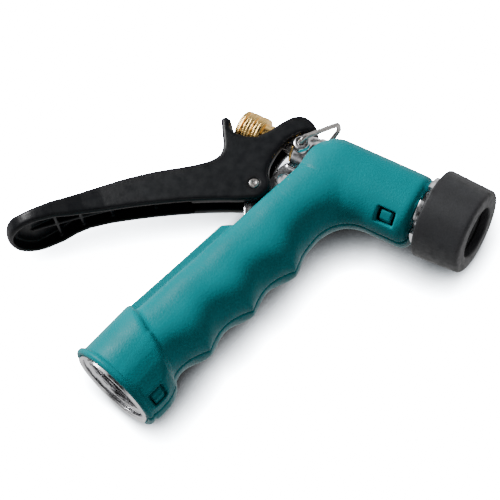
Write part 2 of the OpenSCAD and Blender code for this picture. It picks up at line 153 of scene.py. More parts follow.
def lathe(profile, steps, wobble=None):
    """Vertices and faces of a closed profile of (x, radius) turned about the x axis.

    wobble(x, r, angle) changes the radius, for knurls, notches and threads.
    """
    profile = np.asarray(profile, float)
    a = np.arange(steps) * 2 * math.pi / steps
    x = np.repeat(profile[:, 0][:, None], steps, 1)
    r = np.repeat(profile[:, 1][:, None], steps, 1)
    angle = np.repeat(a[None, :], len(profile), 0)
    if wobble:
        r = wobble(x, r, angle)
    verts = np.stack([x, r * np.cos(angle), r * np.sin(angle)], -1).reshape(-1, 3)
    n = len(profile)
    faces = [
        (i * steps + j, i * steps + (j + 1) % steps,
         ((i + 1) % n) * steps + (j + 1) % steps, ((i + 1) % n) * steps + j)
        for i in range(n)
        for j in range(steps)
    ]
    return verts, faces


def rounded(points, radius, steps=4):
    """A closed outline with each corner turned into an arc of about this radius."""
    out = []
    n = len(points)
    radii = radius if hasattr(radius, "__len__") else [radius] * n
    for i in range(n):
        p = np.asarray(points[i], float)
        before = np.asarray(points[i - 1], float) - p
        after = np.asarray(points[(i + 1) % n], float) - p
        reach = min(radii[i], 0.45 * np.linalg.norm(before), 0.45 * np.linalg.norm(after))
        if reach < 0.02:
            out.append(p)
            continue
        a = p + before / np.linalg.norm(before) * reach
        b = p + after / np.linalg.norm(after) * reach
        for k in range(steps + 1):
            t = k / steps
            out.append((1 - t) ** 2 * a + 2 * t * (1 - t) * p + t * t * b)
    return np.array(out)


def denser(points, step):
    """The same closed outline with points no further apart than step."""
    out = []
    for p, q in zip(points, np.roll(points, -1, 0)):
        n = max(1, int(math.ceil(np.linalg.norm(q - p) / step)))
        out += [p + (q - p) * k / n for k in range(n)]
    return np.array(out)


def bezier(a, b, c, d, n):
    t = np.linspace(0, 1, n + 1)[1:, None]
    a, b, c, d = (np.asarray(v, float) for v in (a, b, c, d))
    s = 1 - t
    return s**3 * a + 3 * s * s * t * b + 3 * s * t * t * c + t**3 * d


def tube(route, radius, sides):
    """A round wire along a route of points."""
    route = np.asarray(route, float)
    tangent = np.gradient(route, axis=0)
    tangent /= np.linalg.norm(tangent, axis=1)[:, None]
    side = np.cross(tangent[0], [0.3, 0.9, 0.1])
    side /= np.linalg.norm(side)
    verts = []
    for p, t in zip(route, tangent):
        side = side - t * np.dot(side, t)
        side /= np.linalg.norm(side)
        up = np.cross(t, side)
        for k in range(sides):
            a = 2 * math.pi * k / sides
            verts.append(p + radius * (math.cos(a) * side + math.sin(a) * up))
    n = len(route)
    faces = [
        (i * sides + k, i * sides + (k + 1) % sides, (i + 1) * sides + (k + 1) % sides,
         (i + 1) * sides + k)
        for i in range(n - 1)
        for k in range(sides)
    ]
    faces += [list(range(sides))[::-1], list(range((n - 1) * sides, n * sides))]
    return verts, faces


# ---------------------------------------------------------------- distance fields
class Field:
    """A grid of points in the head's frame, and the pieces of geometry measured on it."""

    def __init__(self, low, high, step):
        self.low, self.step = np.array(low, float), step
        axes = [np.arange(l, h + step, step, dtype=np.float32) for l, h in zip(low, high)]
        self.x, self.y, self.z = np.meshgrid(*axes, indexing="ij", sparse=True)
        c, s = math.cos(TILT), math.sin(TILT)
        self.gx = self.x * c - self.y * s
        self.gy = self.x * s + self.y * c + GRIP_LEN

    def mesh(self, d):
        """Surface net of d = 0, with every vertex pulled onto the surface."""
        d = np.broadcast_to(
            d, (self.x.shape[0], self.y.shape[1], self.z.shape[2])
        ).astype(np.float32)
        return surface_net(d, self.low, self.step)


def surface_net(d, low, step):
    inside = d < 0
    shape = tuple(n - 1 for n in d.shape)
    corners = [(i, j, k) for i in (0, 1) for j in (0, 1) for k in (0, 1)]

    def at(a, c):
        return a[c[0]:c[0] + shape[0], c[1]:c[1] + shape[1], c[2]:c[2] + shape[2]]

    count = sum(at(inside, c).astype(np.int8) for c in corners)
    active = (count > 0) & (count < 8)
    cells = np.argwhere(active)
    total = np.zeros((len(cells), 3))
    hits = np.zeros(len(cells))
    values = [at(d, c)[active] for c in corners]
    for m, c in enumerate(corners):
        for axis in range(3):
            if c[axis]:
                continue
            other = list(c)
            other[axis] = 1
            v0, v1 = values[m], values[corners.index(tuple(other))]
            cross = (v0 < 0) != (v1 < 0)
            t = np.where(cross, v0 / np.where(cross, v0 - v1, 1), 0)
            p = np.tile(np.array(c, float), (len(cells), 1))
            p[:, axis] = t
            total += p * cross[:, None]
            hits += cross
    verts = low + (cells + total / hits[:, None]) * step
    index = np.full(shape, -1, np.int64)
    index[active] = np.arange(len(cells))
    faces = []
    for axis in range(3):
        u, v = (axis + 1) % 3, (axis + 2) % 3
        first = [slice(None)] * 3
        second = [slice(None)] * 3
        first[axis], second[axis] = slice(0, -1), slice(1, None)
        change = inside[tuple(first)] != inside[tuple(second)]
        where = np.argwhere(change)
        ok = (where[:, u] > 0) & (where[:, v] > 0)
        ok &= (where[:, u] < shape[u]) & (where[:, v] < shape[v])
        where = where[ok]
        quads = []
        for du, dv in ((1, 1), (0, 1), (0, 0), (1, 0)):
            c = where.copy()
            c[:, u] -= du
            c[:, v] -= dv
            quads.append(index[c[:, 0], c[:, 1], c[:, 2]])
        quads = np.stack(quads, 1)
        leaving = inside[where[:, 0], where[:, 1], where[:, 2]]
        faces.append(np.where(leaving[:, None], quads, quads[:, ::-1]))
    faces = np.concatenate(faces)
    return project(verts, faces, d, low, step)


def sample(d, at):
    """Trilinear values of grid d at grid coordinates."""
    at = np.clip(at, 0, np.array(d.shape) - 1.001)
    i = at.astype(int)
    f = at - i
    out = 0
    for c in np.ndindex(2, 2, 2):
        w = np.prod([f[:, a] if c[a] else 1 - f[:, a] for a in range(3)], axis=0)
        out = out + w * d[i[:, 0] + c[0], i[:, 1] + c[1], i[:, 2] + c[2]]
    return out


def project(verts, faces, d, low, step):
    """Evens the net out a little, then moves each vertex back onto the surface."""
    n = len(verts)
    ring = np.concatenate([faces[:, [k, (k + 1) % 4]] for k in range(4)])
    weight = np.bincount(ring[:, 0], minlength=n) + np.bincount(ring[:, 1], minlength=n)
    for _ in range(2):
        mean = np.stack(
            [np.bincount(ring[:, 0], verts[ring[:, 1], a], n)
             + np.bincount(ring[:, 1], verts[ring[:, 0], a], n) for a in range(3)], 1)
        mean /= np.maximum(weight, 1)[:, None]
        verts = 0.5 * verts + 0.5 * mean
        for _ in range(2):
            at = (verts - low) / step
            value = sample(d, at)
            slope = np.stack(
                [sample(d, at + e) - sample(d, at - e) for e in np.eye(3) * 0.5], 1) / step
            move = value[:, None] * slope / np.maximum((slope**2).sum(1), 0.2)[:, None]
            verts = verts - np.clip(move, -0.5 * step, 0.5 * step)
    return verts, faces


def both(a, b, k=0.0):
    """Where both shapes are, with a rounded edge of about k between them."""
    if k <= 0:
        return np.maximum(a, b)
    h = np.clip(0.5 - 0.5 * (b - a) / k, 0, 1)
    return b * (1 - h) + a * h + k * h * (1 - h)


def either(a, b, k=0.0):
    """Either shape, with a fillet of about k between them."""
    if k <= 0:
        return np.minimum(a, b)
    h = np.clip(0.5 + 0.5 * (b - a) / k, 0, 1)
    return b * (1 - h) + a * h - k * h * (1 - h)


def without(a, b, k=0.0):
    return both(a, -b, k)


def slab(v, low, high):
    return both(low - v, v - high)


def polygon_distance(px, py, points):
    """Signed distance to a polygon, on two arrays that broadcast together."""
    px, py = np.broadcast_arrays(px, py)
    best = np.full(px.shape, 1e9)
    odd = np.zeros(px.shape, bool)
    points = np.asarray(points, float)
    for (ax, ay), (bx, by) in zip(points, np.roll(points, -1, 0)):
        ex, ey = bx - ax, by - ay
        length = ex * ex + ey * ey
        if length < 1e-12:
            continue
        t = np.clip(((px - ax) * ex + (py - ay) * ey) / length, 0, 1)
        best = np.minimum(best, (px - ax - t * ex) ** 2 + (py - ay - t * ey) ** 2)
        if ay != by:
            cross = (ay > py) != (by > py)
            odd ^= cross & (px < (py - ay) * ex / ey + ax)
    return (np.sqrt(best) * np.where(odd, -1, 1)).astype(np.float32)


def turned(v, w, angle):
    """Two coordinates as seen from axes turned by this angle, in degrees."""
    c, s = math.cos(math.radians(angle)), math.sin(math.radians(angle))
    return v * c + w * s, -v * s + w * c


# ---------------------------------------------------------------- grip shells
FIRST_RIDGE, PITCH, GROOVE = 31.0, 19.4, 2.9  # finger grooves: start, spacing, depth
COLLAR_R, BEAD_R = 15.7, 17.0
BACK_SLOPE = 0.068
SEAM = 0.09  # half the gap along the parting line


def back_x(y):
    """Back of the grip."""
    return -13.2 + BACK_SLOPE * y


def front_x(y, z):
    """Front of the grip, scalloped for the fingers, easing into the throat.

    The ridges between the grooves are sharp at the parting line and soften towards the sides.
    """
    u = (y - FIRST_RIDGE) / PITCH
    d = u - np.floor(u)
    soft = np.clip(np.abs(z) / 8, 0, 1)
    groove = 4 * d * (1 - d) * (1 - soft) + np.sin(math.pi * d) ** 2 * soft
    scalloped = 15.3 + 0.056 * (y - FIRST_RIDGE) - GROOVE * groove
    t = np.clip((y - 72) / 11, 0, 1)
    t = t * t * (3 - 2 * t)
    return scalloped * (1 - t) + 14.25 * t


def shell_body(g):
    """The bent tube of barrel and grip: a rounded section swept round the throat."""
    angle = np.arctan2(g.y - THROAT[1], g.x - THROAT[0])
    reach_r = np.hypot(g.x - THROAT[0], g.y - THROAT[1])
    in_grip = g.gy < THROAT[1] * math.cos(TILT) + THROAT[0] * math.sin(TILT) + GRIP_LEN
    in_barrel = g.x > THROAT[0]
    cos, sin = np.cos(angle), np.sin(angle)
    lean = TILT + math.atan(BACK_SLOPE)
    normal = (-math.cos(lean), math.sin(lean))
    start = grip_to_head([[back_x(GRIP_LEN), GRIP_LEN]])[0]

    def to_line(p, n):
        d = (p[0] - THROAT[0]) * n[0] + (p[1] - THROAT[1]) * n[1]
        along = cos * n[0] + sin * n[1]
        return np.where(along > 0.05, d / np.where(along > 0.05, along, 1), 1000)

    rear = np.where(g.y > -8, np.maximum(to_line(start, normal), to_line((-8.3, 0), (-1, 0))),
                    to_line(start, normal))
    reach = either(either(to_line((0, TOP_Y), (0, 1)), rear, 0.5),
                   to_line((-8.3, TOP_Y - 6.8), (-0.7071, 0.7071)), 3.0)
    back, front = back_x(g.gy), front_x(g.gy, g.z)
    under = THROAT[1] + THROAT_R
    centre_u = np.where(in_grip, g.gx - (back + front) / 2,
                        np.where(in_barrel, (TOP_Y + under) / 2 - g.y,
                                 (reach + THROAT_R) / 2 - reach_r))
    half = np.where(in_grip, (front - back) / 2,
                    np.where(in_barrel, (TOP_Y - under) / 2, (reach - THROAT_R) / 2))
    thick = np.where(in_grip, 13.6 - 0.016 * g.gy, 12.2)
    u, w = np.abs(centre_u / half), np.abs(g.z / thick)
    power = np.where(centre_u < 0, 2.6, 2.2)
    level = (u**power + w**power) ** (1 / power) - 1
    return (level * (half + thick) / 2).astype(np.float32)


def shell_outside(g):
    body = both(shell_body(g), g.x - SHELL_FRONT, 3.6)
    round_r = np.hypot(g.gx, g.z)
    collar_top = (g.gy - 20.2 + 0.33 * g.gx) / math.hypot(1, 0.33)
    collar = both(both(round_r - COLLAR_R, collar_top, 2.2), 2.2 - g.gy, 0.8)
    out = either(body, collar, 1.8)
    side = polygon_distance(
        g.gx, g.gy, [(4, 3.2), (16.9, 3.2), (17.6, 5.2), (17.5, 9.6), (16.2, 12), (13.2, 14.8),
                     (10, 16.9), (6.5, 18.4), (2, 19.6)])
    plan = polygon_distance(
        g.gx + 0 * g.z, g.z + 0 * g.gx,
        [(0, -15.2), (6, -14.3), (10, -12.7), (14.4, -10), (17.6, -4), (17.6, 4), (14.4, 10),
         (10, 12.7), (6, 14.3), (0, 15.2)])
    out = either(out, both(side, plan, 2.2), 1.6)
    band_edge = -14.4 + (g.gy - 25) * (2.8 / 39.6)
    band = both(both(np.abs(g.z) - 5, band_edge - g.gx, 0.7),
                both(20 - g.gy, g.gy + 0.9 * (-11.6 - g.gx) - 65.2, 1.2), 0.6)
    band = both(band, g.gx + 4)
    out = either(out, band, 0.25)
    bead = np.hypot(round_r - BEAD_R + 1.3, np.maximum(np.abs(g.gy - 2.1), 0.0)) - 1.3
    return either(out, both(bead, round_r - BEAD_R), 0.35)


def window_frame(g, which):
    """Coordinates across, along and out of a latch window."""
    if which == "front":
        out_of, across = turned(g.z, -(g.y + 2.95), 48)
        return g.x - FRONT_LATCH_X, across, out_of - 12.2
    out_of, across = turned(g.z, g.gx, 60)
    centre = turned(6.8, 16, 60)
    return g.gy - COLLAR_LATCH_Y, across - centre[1], out_of - centre[0]


def window(g, which, half_a, deep):
    """A latch window, flared towards the outside."""
    a, b, out = window_frame(g, which)
    flare = 0.35 * np.clip(out + 0.9, 0, 2)
    opening = both(np.abs(a) - half_a - flare, np.abs(b) - 2.6 - flare, 0.5)
    return both(opening, -deep - out, 0.3)


def tongue(g, which):
    """The tongue's squared head, as it shows in its window."""
    a, b, out = window_frame(g, which)
    return both(both(np.abs(a) - TONGUE_HALF, np.abs(b + 0.35) - 1.5, 0.6),
                both(out + 0.5, -3 - out), 0.6)


def tongue_strip(g, which, gap=0.0):
    """The strip that joins a tongue's head to the left shell.

    Grown by gap for its slot, and by more on the inner side, where the slot is open.
    """
    if which == "front":
        along, outward, reach = g.x - FRONT_LATCH_X, -12.0 - g.y, slab(g.z, -7, 7.2 + gap)
    else:
        along, outward = g.gy - COLLAR_LATCH_Y, g.gx - 15.65
        reach = slab(g.z, -5, 6.6 + gap)
    thickness = slab(outward, -0.45 - 8 * gap, 0.45 + gap)
    return both(both(np.abs(along) - TONGUE_HALF - gap, thickness), reach)


def make_shells():
    low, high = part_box("grip_shell_left"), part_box("grip_shell_right")
    lows = [min(a, b) for a, b in zip(in_head(low[0]), in_head(high[0]))]
    highs = [max(a, b) for a, b in zip(in_head(low[1]), in_head(high[1]))]
    for name, side in (("grip_shell_right", 1), ("grip_shell_left", -1)):
        z = (-1.0, highs[2] + 1) if side > 0 else (lows[2] - 1, 1.0)
        if side < 0:
            z = (z[0], 13.0)  # room for the tongues that reach into the other shell
        g = Field((lows[0] - 1, lows[1] - 1, z[0]), (highs[0] + 1, highs[1] + 1, z[1]), GRID)
        outside = shell_outside(g)
        body = shell_body(g)
        hollow = both(body + WALL, g.x - SHELL_FRONT + WALL)
        socket_r = np.hypot(g.gx, g.z)
        socket = either(both(socket_r - 15.1, g.gy - 1.8), both(socket_r - 14.3, g.gy - 12))
        pipe = both(np.hypot(g.gx - PIPE_X, g.z) - PIPE_R - 0.2, g.y)
        hollow = either(either(hollow, socket), pipe)
        hollow = either(hollow, np.hypot(g.y, g.z) - BARREL_R - 0.2)
        ears = np.hypot(g.x - WIRE_PIVOT[0], g.y - WIRE_PIVOT[1]) - 3.1
        hollow = either(hollow, ears + 0 * g.z)
        lug = both(slab(g.x, -30, -6), slab(g.y, -38, 6))
        hollow = either(hollow, both(lug, np.abs(g.z) - 3))
        shell = without(outside, hollow, 0.5)
        shell = both(shell, (SEAM - g.z) if side > 0 else (g.z + SEAM), 0.9)
        if side > 0:
            for which, half_a, deep in (("front", 3.1, 4.2), ("collar", 3.0, 2.0)):
                shell = without(shell, window(g, which, half_a, deep), 0.4)
                shell = without(shell, tongue_strip(g, which, 0.15))
        else:
            for which in ("front", "collar"):
                shell = either(shell, either(tongue(g, which), tongue_strip(g, which)))
        verts, faces = g.mesh(shell)
        new_object("shell_" + ("right" if side > 0 else "left"), verts, faces, "body",
                   teal, [name])


# ---------------------------------------------------------------- trigger lever
def cam(a):
    """Involute that the nut's face rides on."""
    arm, lead = -PIVOT[1], -NUT_X[1] + PIVOT[0] - 0.04
    reach = lead + arm * a
    return (PIVOT[0] - reach * math.cos(a) + arm * math.sin(a),
            PIVOT[1] + reach * math.sin(a) + arm * math.cos(a))


def lever_outline():
    turn = np.radians(np.arange(45, -61, -10))
    horn = np.radians(np.arange(190, -1, -19))
    return np.concatenate([
        bezier((-9.2, 7.4), (-13.6, 6.2), (-17, 1), (-17.2, -5.5), 12),
        bezier((-17.2, -5.5), (-17.4, -12), (-16, -13.6), (-14.6, -15.2), 8),
        np.stack([PIVOT[0] + 5.4 * np.cos(turn), PIVOT[1] + 5.4 * np.sin(turn)], 1),
        bezier((-16.8, -25.6), (-33.4, -33), (-51.2, -45.1), (-63.8, -55.5), 16),
        bezier((-63.8, -55.5), (-68.5, -59.9), (-74, -66.2), (-80.6, -73.4), 8),
        bezier((-80.6, -73.4), (-85, -77.2), (-88.4, -72.4), (-82.2, -66.4), 12),
        bezier((-82.2, -66.4), (-73.9, -55.8), (-64.2, -39.6), (-43.4, -24.9), 20),
        bezier((-43.4, -24.9), (-34.5, -18), (-32.5, -15.5), (-35.6, -10.4), 12),
        [(-38.2, -6.8)],
        np.stack([-38.9 + 1.9 * np.cos(horn), -2.9 + 1.6 * np.sin(horn)], 1),
        bezier((-37.0, -3.7), (-35.4, -5.4), (-31.5, -5.6), (-28, -3.9), 8),
        bezier((-28, -3.9), (-24.4, -1.6), (-23, 2.2), (-22.2, 4.4), 8),
        [(-20.8, 6.9)],
        bezier((-20.8, 6.9), (-17.8, 12.2), (-12.4, 11.4), (-9, 7.9), 12),
    ])


def nut_room(g):
    """Round pocket for the nut's knurl, and room for its front to run up the cam."""
    round_r = np.hypot(g.y, g.z)
    pocket = both(round_r - NUT_R - 0.3, slab(g.x, NUT_X[0] - 0.3, NUT_X[1] - BOSS_LEN))
    run = [cam(math.radians(a)) for a in range(0, 49, 3)]
    step = NUT_X[1] - BOSS_LEN
    beside = polygon_distance(g.x, g.y, run + [(-20, 14), (step, 14), (step, 0)])
    boss = both(round_r - BOSS_R - 0.3, slab(g.x, NUT_X[1] - BOSS_LEN, cam(0)[0]))
    return either(pocket, either(boss, both(beside, np.abs(g.z) - BOSS_R - 0.3)))


def lever_inside():
    return np.concatenate([
        [(-9, 6.9), (-14.2, 6.6), (-17.2, 7), (-19.8, 7.9), (-24, 7.9), (-24, -9), (-33, -9),
         (-31.6, -13)],
        bezier((-31.6, -13), (-34, -20.5), (-38, -23), (-42, -26.8), 6),
        bezier((-42, -26.8), (-61.6, -41.6), (-71, -54.6), (-79, -66.4), 14),
        [(-83, -69.8), (-84, -72.2), (-81.6, -77), (-62, -63), (-40, -47.5), (0, -36), (0, 0)],
    ])


def palm_plan(edge, shank):
    """The lever seen from the palm's side: a parallel shank that swells into the palm."""
    r = PALM_R - edge
    side = [(140, shank), (24, shank), (17, shank + 0.7), (12, shank + 2.0), (7, r - 1.0)]
    turn = np.radians(np.arange(84, 277, 8))
    arc = np.stack([r * np.cos(turn), r * np.sin(turn)], 1)
    return np.concatenate([side, arc, [(x, -y) for x, y in side[::-1]]])


def make_lever():
    low, high = (in_head(c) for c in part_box("trigger_lever"))
    g = Field([v - 1 for v in low], [v + 1 for v in high], LEVER_GRID)
    u, w = turned(g.x - PALM_AT[0], g.y - PALM_AT[1], PALM_TURN)
    outline = polygon_distance(g.x, g.y, lever_outline())
    # the palm's back falls away towards its edges
    crown = 1.3 * np.clip((np.abs(g.z) - 5.2) / 5.5, 0, 1) ** 1.5 * np.clip(w / 2 + 0.5, 0, 1)

    def plan(edge, shank):
        """Distance to the palm's plan, looked up from a table along the shank."""
        steps = np.arange(-14, 80, 0.25)
        table = polygon_distance(steps[:, None], g.z.reshape(1, -1), palm_plan(edge, shank))
        at = np.clip((u + 14) / 0.25, 0, len(steps) - 1.01)
        i = at.astype(int)
        f = at - i
        return (table[i[..., 0]] * (1 - f) + table[i[..., 0] + 1] * f).astype(np.float32)

    solid = both(outline + crown, plan(0, HALF_LEVER), 1.5)
    inner = polygon_distance(g.x, g.y, lever_inside())
    width = either(plan(1.9, 2.6), both(plan(1.9, HALF_LEVER - 1.9), g.x + 34))
    channel = both(inner, width, 0.8)
    rib_edge = np.concatenate([
        [(-31, -29.6)], bezier((-31, -29.6), (-46, -36.6), (-60, -48.8), (-78, -67), 10),
        [(-95, -60), (-40, 0)]])
    ribs = np.abs(g.z) - 0.6
    for t in (0.3, 0.55, 0.72, 0.86):
        p = (-31 - 47 * t, -29.6 - 37.4 * t)
        along, _ = turned(g.x - p[0], g.y - p[1], 37)
        ribs = either(ribs, np.abs(along) - 0.6, 0.6)
    ribs = both(ribs, polygon_distance(g.x, g.y, rib_edge), 0.5)
    channel = without(channel, ribs, 0.5)
    lever = without(without(solid, channel, 0.6), nut_room(g), 0.4)
    lever = without(lever, np.hypot(g.x - PIVOT[0], g.y - PIVOT[1]) - 1.78 + 0 * g.z, 0.25)
    verts, faces = g.mesh(lever)
    new_object("lever", verts, faces, "trigger", black_paint, ["trigger_lever"])


# ---------------------------------------------------------------- casting
def make_casting():
    """The zinc casting: lug, ears and boss at the rear, and the grip tube down to the socket."""
    g = Field((-24, -40, -10), (8, 9, 10), FINE)
    boss = both(np.hypot(g.y, g.z) - BARREL_R, BARREL_END - g.x, 0.5)
    boss = without(boss, both(5.6 - g.y, g.x + 6.6), 0.6)
    ears = both(np.hypot(g.x - WIRE_PIVOT[0], g.y - WIRE_PIVOT[1]) - 2.7, np.abs(g.z) - 8.7, 0.6)
    lug = polygon_distance(g.x, g.y, [
        (-9, -5.5), (-13.2, -6.4), (-14.4, -9), (-15.4, -15.6), (-21.1, -17.1), (-21.9, -19.5),
        (-21.3, -21.6), (-18.6, -25.6), (-15.6, -31), (-8, -30)])
    lug = both(lug - 0.3, np.abs(g.z) - 2.3, 0.7)
    pipe = both(np.hypot(g.gx - PIPE_X, g.z) - PIPE_R, g.y - 1)
    out = either(either(boss, ears, 1.2), lug, 1.0)
    out = either(out, pipe, 1.2)
    out = without(out, np.hypot(g.x + 10.9, g.y + 12.4) - 2.0 + 0 * g.z, 0.5)
    out = without(out, np.hypot(g.x - PIVOT[0], g.y - PIVOT[1]) - 1.8 + 0 * g.z)
    pin_hole = both(np.hypot(g.x - WIRE_PIVOT[0], g.y - WIRE_PIVOT[1]) - 0.95, 5.4 - np.abs(g.z))
    out = without(out, pin_hole, 0.2)
    out = without(out, both(np.hypot(g.y, g.z) - 4.3, g.x + 8), 0.3)
    out = without(out, both(np.hypot(g.y, g.z) - 4.9, g.x + 12.2), 0.3)
    out = without(out, both(np.hypot(g.y, g.z) - 2.3, g.x + 4))
    out = both(out, g.x - 7.4)
    out = both(out, -39.4 - g.y)
    verts, faces = g.mesh(out)
    new_object("casting_rear", verts, faces, "body", zinc, ["body_casting"])


def on_inlet(verts):
    """Lathe points about x moved so that x runs up the grip from the inlet's mouth."""
    return grip_to_head(np.stack([verts[:, 1], verts[:, 0], verts[:, 2]], 1))


def make_socket():
    """Inlet socket with the hose thread cut in it, open into the grip tube."""
    pitch = 25.4 / 11.5
    outline = rounded([(0.15, 15.0), (0.15, 14.1), (0.7, 13.5)], 0.3)
    thread = [(x, THREAD_R) for x in np.arange(0.8, THREAD_END, 0.14)]
    inner = [(THREAD_END, 13.5), (12.3, 13.5), (12.3, 4.8), (66, 4.8), (66, PIPE_R), (19.6, PIPE_R),
             (19.5, PIPE_X + PIPE_R), (11.5, 14.2), (1.7, 14.2), (1.5, 15.0)]
    profile = np.concatenate([outline, thread, inner])

    def cut(x, r, a):
        phase = (x / pitch - a / (2 * math.pi)) % 1
        ridge = np.clip(1 - np.abs(phase - 0.5) / 0.36, 0, 1) ** 0.8
        run_in = np.clip((x - 0.75) / 0.8, 0, 1) * np.clip((THREAD_END - x) / 0.8, 0, 1)
        threaded = (x > 0.75) & (x < THREAD_END - 0.01) & (np.abs(r - THREAD_R) < 0.01)
        return np.where(threaded, 13.5 - 1.0 * ridge * run_in, r)

    verts, faces = lathe(profile, 128, cut)
    on_pipe = np.hypot(verts[:, 1], verts[:, 2]) < PIPE_R + 0.1
    verts[:, 1] += PIPE_X * on_pipe
    obj = new_object("inlet_socket", on_inlet(verts), faces, "body", zinc,
                     ["body_casting"])
    sharpen(obj, 40)


# ---------------------------------------------------------------- outlet
def make_outlet():
    x0, x1 = BUMPER_X
    profile = rounded([(36.1, 7.6), (36.1, 12.0), (38.4, 12.0), (38.4, 10.9), (39.6, 10.9),
                       (39.6, 13.3), (50.4, 13.3), (52.2, 11), (52.2, 7.4), (46.4, 4.4),
                       (46.4, 2.9), (44.4, 2.9), (42.4, 4.3), (39, 4.3), (39, 7.6)], 0.35)
    profile = denser(profile, 0.6)

    def notch(x, r, a):
        tooth = np.abs(((a * 6 / (2 * math.pi)) % 1) - 0.5) * 2
        cut = np.clip((0.45 - tooth) * 12, 0, 1) * (x < 38.6)
        return r - cut * np.clip(r - 9.4, 0, 3)

    verts, faces = lathe(profile, 240, notch)
    obj = new_object("outlet", verts, faces, "body", zinc, ["outlet_head"])
    sharpen(obj, 35)
    # the mouth, inside the bumper, gets near-black zinc: painted shade standing in for the shadow deep in the hole
    obj.data.materials.append(painted_shade_zinc())
    for face in obj.data.polygons:
        face.material_index = int(face.center.x > CORNER.x + 42.5 * MM)
    rubber_profile = rounded(
        [(x0, 11.2), (39.4, 11.2), (39.6, 13.4), (50.4, 13.4), (52.3, 11), (52.5, 8.9),
         (x1, 8.9), (x1, 14.6), (x0, 15.4)],
        [0.4, 0.2, 0.2, 0.2, 0.2, 0.2, 0.7, 1.5, 0.8], 6)
    rubber_profile = denser(rubber_profile, 1.0)

    def flash(x, r, a):
        """A small moulding nib at the rear edge and a faint waviness."""
        nib = np.exp(-(((a - 1.57 + math.pi) % (2 * math.pi) - math.pi) / 0.05) ** 2)
        edge = np.clip((40.2 - x) / 1.5, 0, 1) * np.clip((r - 14) / 1.0, 0, 1)
        return r + 0.35 * nib * edge + 0.03 * np.sin(5 * a) * (r > 14)

    verts, faces = lathe(rubber_profile, 160, flash)
    obj = new_object("bumper", verts, faces, "body", rubber,
                     ["rubber_bumper"])
    sharpen(obj, 50)


# ---------------------------------------------------------------- brass and steel
def make_nut():
    x0, x1 = NUT_X[0] + 1.0, NUT_X[1]  # the stem's end stands just proud of the nut
    r = NUT_R
    corners = [(x1, 2.05), (x1, BOSS_R - 0.4), (x1 - 0.4, BOSS_R), (x1 - 2.9, BOSS_R),
               (x1 - 3.2, r), (x1 - 5.6, r), (x1 - 5.8, 5.5), (x1 - 6.4, 5.5), (x1 - 6.6, r),
               (x1 - 9.2, r), (x1 - 9.4, 5.5), (x1 - 10, 5.5), (x1 - 10.2, r), (x1 - 11.4, r - 0.2),
               (x0 + 0.4, r - 1.2), (x0, r - 2.6), (x0, 2.05)]
    radii = [0.1, 0.2, 0.3, 0.1, 0.25] + [0.15] * 8 + [1.2, 0.8, 0.5, 0.1]
    profile = denser(rounded(corners, radii), 0.25)

    def knurl(x, r, a):
        grip = np.clip((r - 5.7) / 0.3, 0, 1)
        diamond = np.cos(30 * a + 2.6 * (x - x0)) * np.cos(30 * a - 2.6 * (x - x0))
        return r - grip * 0.22 * (0.5 - 0.5 * diamond)

    verts, faces = lathe(profile, 240, knurl)
    new_object("brass_nut", verts, faces, "nut", brass, ["adjusting_nut"])


def make_packing_nut():
    low, high = (in_head(c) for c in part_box("packing_nut"))
    profile = denser(rounded([(low[0], 2.2), (low[0], 4.6), (BARREL_END, 4.6), (BARREL_END, 4.2),
                              (high[0], 4.2), (high[0], 2.2)], 0.12), 0.3)

    def hexagon(x, r, a):
        flat = 3.984 / np.cos((a + math.pi / 6) % (math.pi / 3) - math.pi / 6)
        chamfer = 4.62 - 0.6 * np.clip(1 - (x - low[0]) / 0.8, 0, 1)
        return np.where((r > 4.25) & (x < -12.15), np.minimum(r, np.minimum(flat, chamfer)), r)

    verts, faces = lathe(profile, 96, hexagon)
    obj = new_object("gland_nut", verts, faces, "body", brass,
                     ["packing_nut"])
    sharpen(obj, 25)


def make_pin():
    z = HALF_LEVER
    centre = np.array([PIVOT[0], PIVOT[1], 0])
    pin = rounded([(-z - 1.4, 0.01), (-z - 1.4, 1.5), (-z - 1.0, 1.75), (z + 0.1, 1.75),
                   (z + 0.45, 1.35), (z + 0.45, 0.9), (z + 0.2, 0.7), (z + 0.2, 0.01)], 0.15)
    washer = rounded([(-z - 0.7, 1.76), (-z - 0.7, 3.2), (-z - 0.02, 3.2), (-z - 0.02, 1.76)], 0.2)
    for name, profile, node in (("pin", pin, "pivot_pin"), ("staked_washer", washer, "pin_washer")):
        verts, faces = lathe(denser(profile, 0.6), 64)
        upright = np.stack([-verts[:, 1], verts[:, 2], verts[:, 0]], 1) + centre
        obj = new_object(name, upright, faces, "trigger", steel, [node])
        sharpen(obj, 40)


def make_wire():
    """Hold-open loop: two legs in the ears, arms that close in to a rounded crown."""
    leg = 9.9
    half = [(0, 0, 5.7), (0, 0, leg), (2.4, 0, leg), (13.8, 0, 3.2), (15.6, 0, 1.9)]
    corners = np.array(half + [(x, 0, -z) for x, _, z in half[::-1]], float)
    bend = 1.5
    route = [corners[0]]
    for i in range(1, len(corners) - 1):
        p, before, after = corners[i], corners[i - 1] - corners[i], corners[i + 1] - corners[i]
        reach = min(bend, 0.45 * np.linalg.norm(before), 0.45 * np.linalg.norm(after))
        a = p + before / np.linalg.norm(before) * reach
        b = p + after / np.linalg.norm(after) * reach
        for t in np.linspace(0, 1, 9):
            route.append((1 - t) ** 2 * a + 2 * t * (1 - t) * p + t * t * b)
    route.append(corners[-1])
    route = np.array(route)
    keep = [0] + [i for i in range(1, len(route))
                  if np.linalg.norm(route[i] - route[i - 1]) > 0.05]
    verts, faces = tube(route[keep], 0.85, 20)
    lean = math.radians(70)
    v = np.asarray(verts)
    x = v[:, 0] * math.cos(lean) - v[:, 1] * math.sin(lean) + WIRE_PIVOT[0]
    y = v[:, 0] * math.sin(lean) + v[:, 1] * math.cos(lean) + WIRE_PIVOT[1]
    obj = new_object("wire_loop", np.stack([x, y, v[:, 2]], 1), faces, "wire", steel,
                     ["hold_open_wire"])
    sharpen(obj, 60)


